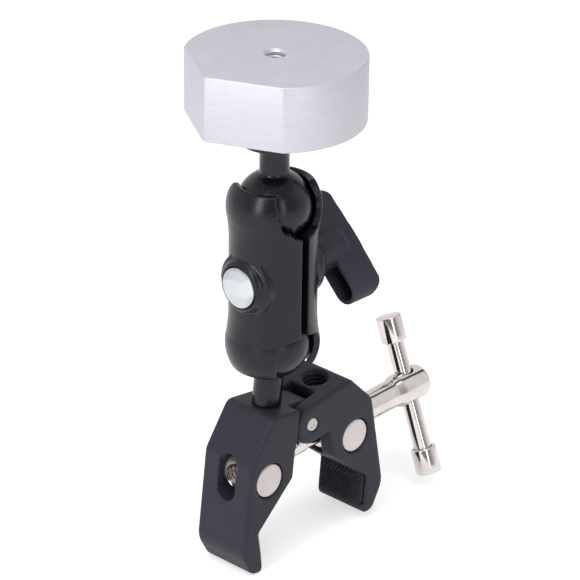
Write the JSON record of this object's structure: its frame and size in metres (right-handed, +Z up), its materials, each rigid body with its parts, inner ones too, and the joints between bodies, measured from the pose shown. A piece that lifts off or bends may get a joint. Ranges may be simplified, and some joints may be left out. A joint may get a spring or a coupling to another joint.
{
  "type": "pole clamp mount",
  "caption": "Crab clamp with a tee screw that grips a pole, carrying a double ball arm with a wing knob and a round camera mount on top.",
  "frame": {"origin": "axis of the gripped pole, midway across the width of the jaws", "axes": "+Y along the gripped pole and the hinge pin, +X towards the tee handle, +Z up along the arm"},
  "size_m": [0.1052, 0.06, 0.1792],
  "materials": {
    "jaw_coat": "matt slate black powder coat",
    "shell_coat": "semi gloss black",
    "knob_plastic": "matt black moulding",
    "nickel": "bright nickel plate",
    "zinc": "bright zinc plate",
    "puck_metal": "satin anodised, turned",
    "pad_rubber": "ribbed black",
    "spring_steel": "plain spring wire"
  },
  "bodies": {
    "left_half": {"left_jaw": "jaw_coat", "left_pad": "pad_rubber"},
    "right_half": {"right_jaw": "jaw_coat", "right_pad": "pad_rubber", "hinge_pin": "nickel"},
    "left_barrel": {"left_trunnion": "nickel"},
    "right_barrel": {"right_trunnion": "nickel"},
    "screw": {"clamp_screw": "nickel", "screw_ring": "nickel"},
    "handle_bar": {"tommy_bar": "nickel", "bar_cap_upper": "nickel", "bar_cap_lower": "nickel"},
    "lower_ball": {"lower_ball_stud": "shell_coat"},
    "arm": {"arm_shell_left": "shell_coat", "arm_bolt": "zinc", "arm_spring": "spring_steel"},
    "right_shell": {"arm_shell_right": "shell_coat"},
    "knob": {"knob_wing": "knob_plastic", "knob_nut": "nickel", "knob_washer": "nickel"},
    "upper_ball": {"upper_ball_stud": "shell_coat"},
    "puck": {"camera_puck": "puck_metal"}
  },
  "joints": [
    {"name": "jaw_open", "type": "hinge", "parent": "left_half", "child": "right_half", "pos_m": [-0.00126, 0, 0.03598], "axis": [0, -1, 0], "range_deg": [-43, 6]},
    {"name": "left_barrel_turn", "type": "hinge", "parent": "left_half", "child": "left_barrel", "pos_m": [-0.02177, 0, 0.0224], "axis": [0, -1, 0], "range_deg": [-21.5, 3]},
    {"name": "right_barrel_turn", "type": "hinge", "parent": "right_half", "child": "right_barrel", "pos_m": [0.02015, 0, 0.02386], "axis": [0, -1, 0], "range_deg": [-3, 21.5]},
    {"name": "screw_spin", "type": "hinge", "parent": "right_barrel", "child": "screw", "pos_m": [0.02015, 0, 0.02386], "axis": [0.9994, 0, 0.0349], "range_deg": [-3440, 480]},
    {"name": "bar_slide", "type": "slide", "parent": "screw", "child": "handle_bar", "axis": [-0.0328, 0.3387, 0.9403], "range_m": [-0.0103, 0.0165]},
    {"name": "lower_ball_spin", "type": "hinge", "parent": "left_half", "child": "lower_ball", "pos_m": [-0.00991, 0, 0.06691], "axis": [0.1132, 0, 0.9936], "continuous": true},
    {"name": "arm_tilt", "type": "hinge", "parent": "lower_ball", "child": "arm", "pos_m": [-0.00991, 0, 0.06691], "axis": [1, 0, 0], "range_deg": [-85, 85]},
    {"name": "shell_slide", "type": "slide", "parent": "arm", "child": "right_shell", "axis": [1, 0, 0], "range_m": [0, 0.0015]},
    {"name": "knob_spin", "type": "hinge", "parent": "right_shell", "child": "knob", "pos_m": [-0.00991, 0, 0.09146], "axis": [1, 0, 0], "range_deg": [0, 540]},
    {"name": "head_tilt", "type": "hinge", "parent": "arm", "child": "upper_ball", "pos_m": [-0.00991, 0, 0.11601], "axis": [1, 0, 0], "range_deg": [-85, 85]},
    {"name": "puck_spin", "type": "hinge", "parent": "upper_ball", "child": "puck", "pos_m": [-0.00991, 0, 0.11601], "axis": [0, 0, 1], "continuous": true}
  ],
  "couplings": [
    {"joint": "jaw_open", "follows": "screw_spin", "ratio": 0.0125},
    {"joint": "left_barrel_turn", "follows": "screw_spin", "ratio": 0.00625},
    {"joint": "right_barrel_turn", "follows": "screw_spin", "ratio": -0.00625},
    {"joint": "knob_spin", "follows": "shell_slide", "rad_per_m": 6283}
  ]
}
